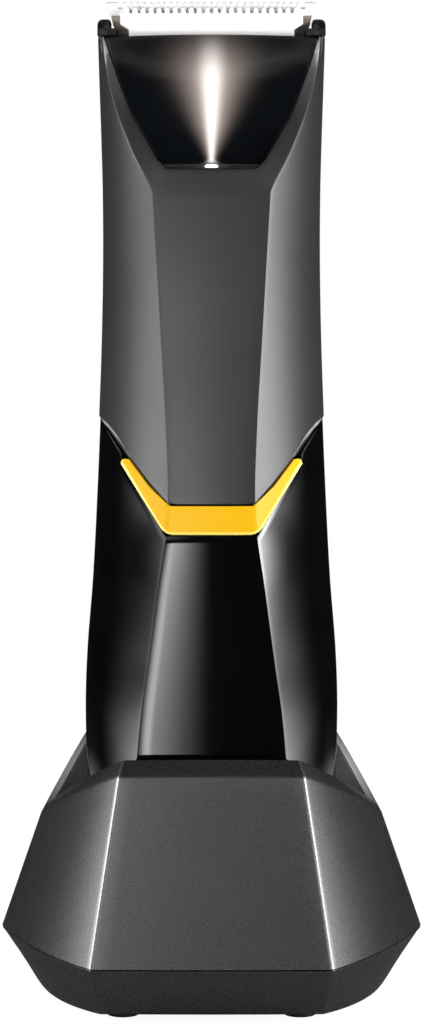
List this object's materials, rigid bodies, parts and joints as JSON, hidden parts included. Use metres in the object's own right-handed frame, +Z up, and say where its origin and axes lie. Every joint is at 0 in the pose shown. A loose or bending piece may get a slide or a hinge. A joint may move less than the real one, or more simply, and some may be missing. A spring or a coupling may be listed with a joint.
{
  "type": "body groomer",
  "caption": "Cordless body groomer with a ceramic blade head, an LED scoop and a yellow trim, standing in its faceted charging dock.",
  "frame": {"origin": "middle of the dock's footprint, on the surface that its feet stand on", "axes": "+Z up along the groomer, -Y towards the front with the light scoop, +X to the right as seen from the front"},
  "size_m": [0.0744, 0.0658, 0.1731],
  "materials": {
    "matte_shell": "satin moulded plastic, dark grey, fine texture",
    "gloss_black": "polished black moulded plastic",
    "yellow_trim": "semi-gloss yellow moulded plastic",
    "clear_lens": "clear moulded light guide",
    "white_ceramic": "ground white ceramic, satin",
    "black_plastic": "satin black moulded plastic",
    "white_plastic": "natural acetal",
    "dock_plastic": "charcoal moulded plastic with a fine grain",
    "rubber": "matte black rubber",
    "steel": "bright steel",
    "gold_contact": "gold-plated contact",
    "circuit_board": "green solder mask",
    "cell_wrap": "blue shrink wrap"
  },
  "bodies": {
    "dock": {"dock_shell": "dock_plastic", "dock_cradle": "dock_plastic", "dock_base": "dock_plastic", "ballast_plate": "steel", "dock_board": "circuit_board", "usb_socket": "steel", "contact_barrel_left": "gold_contact", "contact_spring_left": "steel", "contact_barrel_right": "gold_contact", "contact_spring_right": "steel", "base_screw_front_left": "steel", "base_screw_front_right": "steel", "base_screw_rear_left": "steel", "base_screw_rear_right": "steel", "foot_front_left": "rubber", "foot_front_right": "rubber", "foot_rear_left": "rubber", "foot_rear_right": "rubber"},
    "trimmer": {"front_cover": "matte_shell", "rear_cover": "matte_shell", "light_panel": "gloss_black", "led_lens": "clear_lens", "led_board": "circuit_board", "led_emitter": "clear_lens", "handle_sleeve": "gloss_black", "accent_trim": "yellow_trim", "end_cap": "gloss_black", "charge_contact_left": "gold_contact", "charge_contact_right": "gold_contact", "chassis": "black_plastic", "sleeve_seal": "rubber", "battery_cell": "cell_wrap", "chassis_screw_left": "steel", "chassis_screw_right": "steel", "motor_can": "steel", "motor_bracket": "steel", "bracket_screw_left": "steel", "bracket_screw_right": "steel", "drive_seal": "rubber", "control_board": "circuit_board", "tact_switch": "black_plastic", "button_gasket": "rubber", "status_lens": "clear_lens"},
    "motor_rotor": {"motor_shaft": "steel", "eccentric_cam": "white_plastic", "drive_pin": "steel"},
    "power_button": {"power_button": "gloss_black"},
    "blade_head": {"blade_frame": "black_plastic", "fixed_blade": "white_ceramic", "blade_carrier": "steel", "blade_spring": "steel", "blade_screw_left": "steel", "blade_screw_right": "steel"},
    "cutter": {"cutter_blade": "white_ceramic", "cutter_yoke": "white_plastic"},
    "contact_pin_left": {"contact_pin_left": "gold_contact"},
    "contact_pin_right": {"contact_pin_right": "gold_contact"}
  },
  "joints": [
    {"name": "groomer_lift", "type": "slide", "parent": "dock", "child": "trimmer", "axis": [0, 0, 1], "range_m": [0, 0.06]},
    {"name": "blade_release", "type": "hinge", "parent": "trimmer", "child": "blade_head", "pos_m": [0, 0.0083, 0.1672], "axis": [-1, 0, 0], "range_deg": [0, 40]},
    {"name": "cutter_slide", "type": "slide", "parent": "blade_head", "child": "cutter", "axis": [1, 0, 0], "range_m": [-0.001, 0.001]},
    {"name": "motor_spin", "type": "hinge", "parent": "trimmer", "child": "motor_rotor", "pos_m": [0, 0.0015, 0.13], "axis": [0, 0, 1], "continuous": true},
    {"name": "button_press", "type": "slide", "parent": "trimmer", "child": "power_button", "axis": [0, -1, 0], "range_m": [0, 0.0008], "stiffness_N_per_m": 1500, "springref_m": -0.0006},
    {"name": "contact_press_left", "type": "slide", "parent": "dock", "child": "contact_pin_left", "axis": [0, 0, -1], "range_m": [0, 0.0012], "stiffness_N_per_m": 400, "springref_m": -0.001, "deforming": ["contact_spring_left"]},
    {"name": "contact_press_right", "type": "slide", "parent": "dock", "child": "contact_pin_right", "axis": [0, 0, -1], "range_m": [0, 0.0012], "stiffness_N_per_m": 400, "springref_m": -0.001, "deforming": ["contact_spring_right"]}
  ]
}
